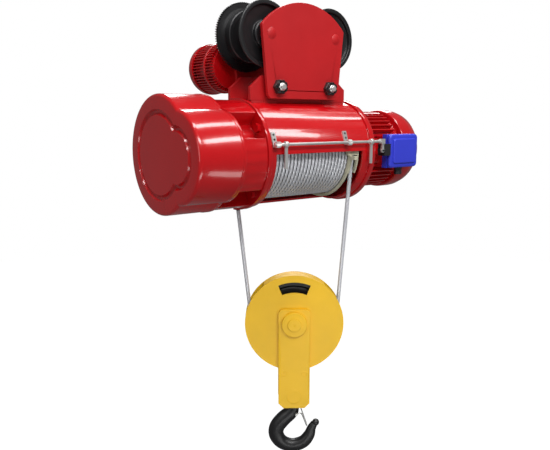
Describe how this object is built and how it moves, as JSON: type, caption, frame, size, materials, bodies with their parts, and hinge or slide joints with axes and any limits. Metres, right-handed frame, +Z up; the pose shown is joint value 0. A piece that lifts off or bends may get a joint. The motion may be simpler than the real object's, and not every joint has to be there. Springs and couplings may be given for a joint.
{
  "type": "electric wire rope hoist",
  "caption": "Electric wire rope hoist on a beam trolley: lobed gearbox cover, windowed drum casing, finned motor, round hook block on two falls of rope.",
  "frame": {"origin": "beam seat: midway between the four wheels, on the plane where their treads meet the beam's lower flange", "axes": "+X along the drum towards the hoist motor, -Y to the front (rope window and terminal box), +Z up"},
  "size_m": [0.8647, 0.419, 1.3506],
  "materials": {
    "red_paint": "glossy machine enamel",
    "blue_paint": "satin enamel",
    "yellow_paint": "satin enamel",
    "black_iron": "black painted forging or casting",
    "zinc_plate": "zinc plated",
    "bare_steel": "machined, oiled",
    "rope_wire": "stranded galvanised wire",
    "guide_paint": "matt khaki",
    "black_plastic": "moulded"
  },
  "bodies": {
    "root": {"gear_cover": "red_paint", "gear_case": "red_paint", "case_bolts": "zinc_plate", "drum_shell": "red_paint", "rod_brackets": "zinc_plate", "rope_anchor": "red_paint", "motor_shield": "red_paint", "motor_frame": "red_paint", "motor_stator": "bare_steel", "fan_cover": "red_paint", "terminal_box": "blue_paint", "terminal_cover": "blue_paint", "cable_gland": "black_plastic", "limit_switch": "black_plastic", "hanger_front": "red_paint", "hanger_rear": "red_paint", "trolley_plate_front": "red_paint", "trolley_plate_rear": "red_paint", "tie_bolts": "zinc_plate", "tie_nuts": "black_iron", "tie_spacers": "bare_steel", "wheel_axles": "bare_steel", "bearings": "bare_steel", "travel_gear_case": "red_paint", "travel_motor_frame": "red_paint", "travel_motor_cap": "red_paint", "dead_fall": "rope_wire"},
    "hoist_rotor": {"main_shaft": "bare_steel", "motor_rotor": "bare_steel", "motor_fan": "black_iron"},
    "countershaft_one": {"countershaft_1": "bare_steel"},
    "countershaft_two": {"countershaft_2": "bare_steel"},
    "rope_drum": {"drum": "bare_steel", "output_gear": "bare_steel", "rope_reserve": "rope_wire", "rope_layer": "rope_wire"},
    "guide": {"rope_guide": "guide_paint", "guide_ring": "guide_paint", "live_fall": "rope_wire"},
    "bight": {"rope_bight": "rope_wire"},
    "hook_block": {"block_covers": "yellow_paint", "block_straps": "yellow_paint", "block_spacers": "zinc_plate", "sheave_axle": "yellow_paint"},
    "rope_sheave": {"sheave": "black_iron"},
    "trunnion": {"crosshead": "bare_steel", "thrust_bearing": "bare_steel"},
    "load_hook": {"hook": "black_iron", "hook_nut": "black_iron"},
    "safety_latch": {"latch": "zinc_plate"},
    "rod": {"limit_rod": "zinc_plate", "stop_fingers": "zinc_plate"},
    "lever": {"limit_lever": "zinc_plate"},
    "travel_drive": {"travel_rotor": "bare_steel"},
    "travel_middle": {"travel_idler": "bare_steel"},
    "travel_output": {"travel_pinion": "bare_steel"},
    "wheel_fl": {"wheel_front_left": "black_iron"},
    "wheel_fr": {"wheel_front_right": "black_iron"},
    "wheel_rl": {"wheel_rear_left": "black_iron"},
    "wheel_rr": {"wheel_rear_right": "black_iron"}
  },
  "joints": [
    {"name": "hoist_motor_spin", "type": "hinge", "parent": "root", "child": "hoist_rotor", "pos_m": [0, 0, -0.248], "axis": [-1, 0, 0], "range_deg": [-8340, 373560]},
    {"name": "countershaft_one_spin", "type": "hinge", "parent": "root", "child": "countershaft_one", "pos_m": [0, -0.05599, -0.20274], "axis": [1, 0, 0], "range_deg": [-2015, 90171]},
    {"name": "countershaft_two_spin", "type": "hinge", "parent": "root", "child": "countershaft_two", "pos_m": [0, -0.10062, -0.278], "axis": [-1, 0, 0], "range_deg": [-505, 22544]},
    {"name": "drum_spin", "type": "hinge", "parent": "root", "child": "rope_drum", "pos_m": [0, 0, -0.248], "axis": [1, 0, 0], "range_deg": [-127, 5637], "deforming": ["rope_layer"]},
    {"name": "guide_travel", "type": "slide", "parent": "root", "child": "guide", "axis": [-1, 0, 0], "range_m": [-0.00437, 0.19578]},
    {"name": "hoist_lift", "type": "slide", "parent": "root", "child": "hook_block", "axis": [-0.0163, 0, -0.9999], "range_m": [-0.13404, 6.00375], "deforming": ["dead_fall"]},
    {"name": "bight_travel", "type": "slide", "parent": "guide", "child": "bight", "axis": [0.0163, 0, -0.9999], "range_m": [-0.13404, 6.00375], "deforming": ["live_fall"]},
    {"name": "sheave_spin", "type": "hinge", "parent": "hook_block", "child": "rope_sheave", "pos_m": [0.0095, -0.022, -0.757], "axis": [0.6024, 0.7982, 0], "range_deg": [-61, 2687]},
    {"name": "crosshead_tilt", "type": "hinge", "parent": "hook_block", "child": "trunnion", "pos_m": [0.0095, -0.022, -0.987], "axis": [0.6024, 0.7982, 0], "range_deg": [-20, 20]},
    {"name": "hook_swivel", "type": "hinge", "parent": "trunnion", "child": "load_hook", "pos_m": [0.0095, -0.022, -0.959], "axis": [0, 0, 1], "continuous": true},
    {"name": "latch_hinge", "type": "hinge", "parent": "load_hook", "child": "safety_latch", "pos_m": [0.01589, -0.02682, -1.053], "axis": [0.6024, 0.7982, 0], "range_deg": [0, 40], "stiffness_Nm_per_rad": 0.3, "springref_deg": -11.46},
    {"name": "limit_rod_slide", "type": "slide", "parent": "root", "child": "rod", "axis": [1, 0, 0], "range_m": [-0.008, 0.008], "stiffness_N_per_m": 800},
    {"name": "limit_lever_turn", "type": "hinge", "parent": "root", "child": "lever", "pos_m": [0.229, -0.16, -0.244], "axis": [0, 1, 0], "range_deg": [-18, 18]},
    {"name": "travel_motor_spin", "type": "hinge", "parent": "root", "child": "travel_drive", "pos_m": [-0.139, 0.15, -0.01], "axis": [0, 1, 0], "continuous": true},
    {"name": "travel_idler_spin", "type": "hinge", "parent": "root", "child": "travel_middle", "pos_m": [-0.06989, 0.1, 0.02163], "axis": [0, 1, 0], "continuous": true},
    {"name": "travel_pinion_spin", "type": "hinge", "parent": "root", "child": "travel_output", "pos_m": [0, 0.08, 0.07], "axis": [0, 1, 0], "continuous": true},
    {"name": "wheel_rear_left_spin", "type": "hinge", "parent": "root", "child": "wheel_rl", "pos_m": [-0.114, 0.03, 0.07], "axis": [0, 1, 0], "continuous": true},
    {"name": "wheel_rear_right_spin", "type": "hinge", "parent": "root", "child": "wheel_rr", "pos_m": [0.114, 0.03, 0.07], "axis": [0, 1, 0], "continuous": true},
    {"name": "wheel_front_left_spin", "type": "hinge", "parent": "root", "child": "wheel_fl", "pos_m": [-0.114, -0.03, 0.07], "axis": [0, 1, 0], "continuous": true},
    {"name": "wheel_front_right_spin", "type": "hinge", "parent": "root", "child": "wheel_fr", "pos_m": [0.114, -0.03, 0.07], "axis": [0, 1, 0], "continuous": true}
  ],
  "couplings": [
    {"joint": "countershaft_one_spin", "follows": "hoist_motor_spin", "ratio": 0.24138},
    {"joint": "countershaft_two_spin", "follows": "hoist_motor_spin", "ratio": 0.060345},
    {"joint": "drum_spin", "follows": "hoist_motor_spin", "ratio": 0.015086},
    {"joint": "guide_travel", "follows": "hoist_motor_spin", "m_per_rad": 0.000030013},
    {"joint": "hoist_lift", "follows": "hoist_motor_spin", "m_per_rad": 0.00092038},
    {"joint": "bight_travel", "follows": "hoist_motor_spin", "m_per_rad": 0.00092038},
    {"joint": "sheave_spin", "follows": "hoist_motor_spin", "ratio": 0.0071895},
    {"joint": "limit_lever_turn", "follows": "limit_rod_slide", "rad_per_m": 37.037},
    {"joint": "travel_idler_spin", "follows": "travel_motor_spin", "ratio": -0.22581},
    {"joint": "travel_pinion_spin", "follows": "travel_motor_spin", "ratio": 0.058542},
    {"joint": "wheel_rear_left_spin", "follows": "travel_motor_spin", "ratio": -0.013999},
    {"joint": "wheel_rear_right_spin", "follows": "travel_motor_spin", "ratio": -0.013999}
  ]
}
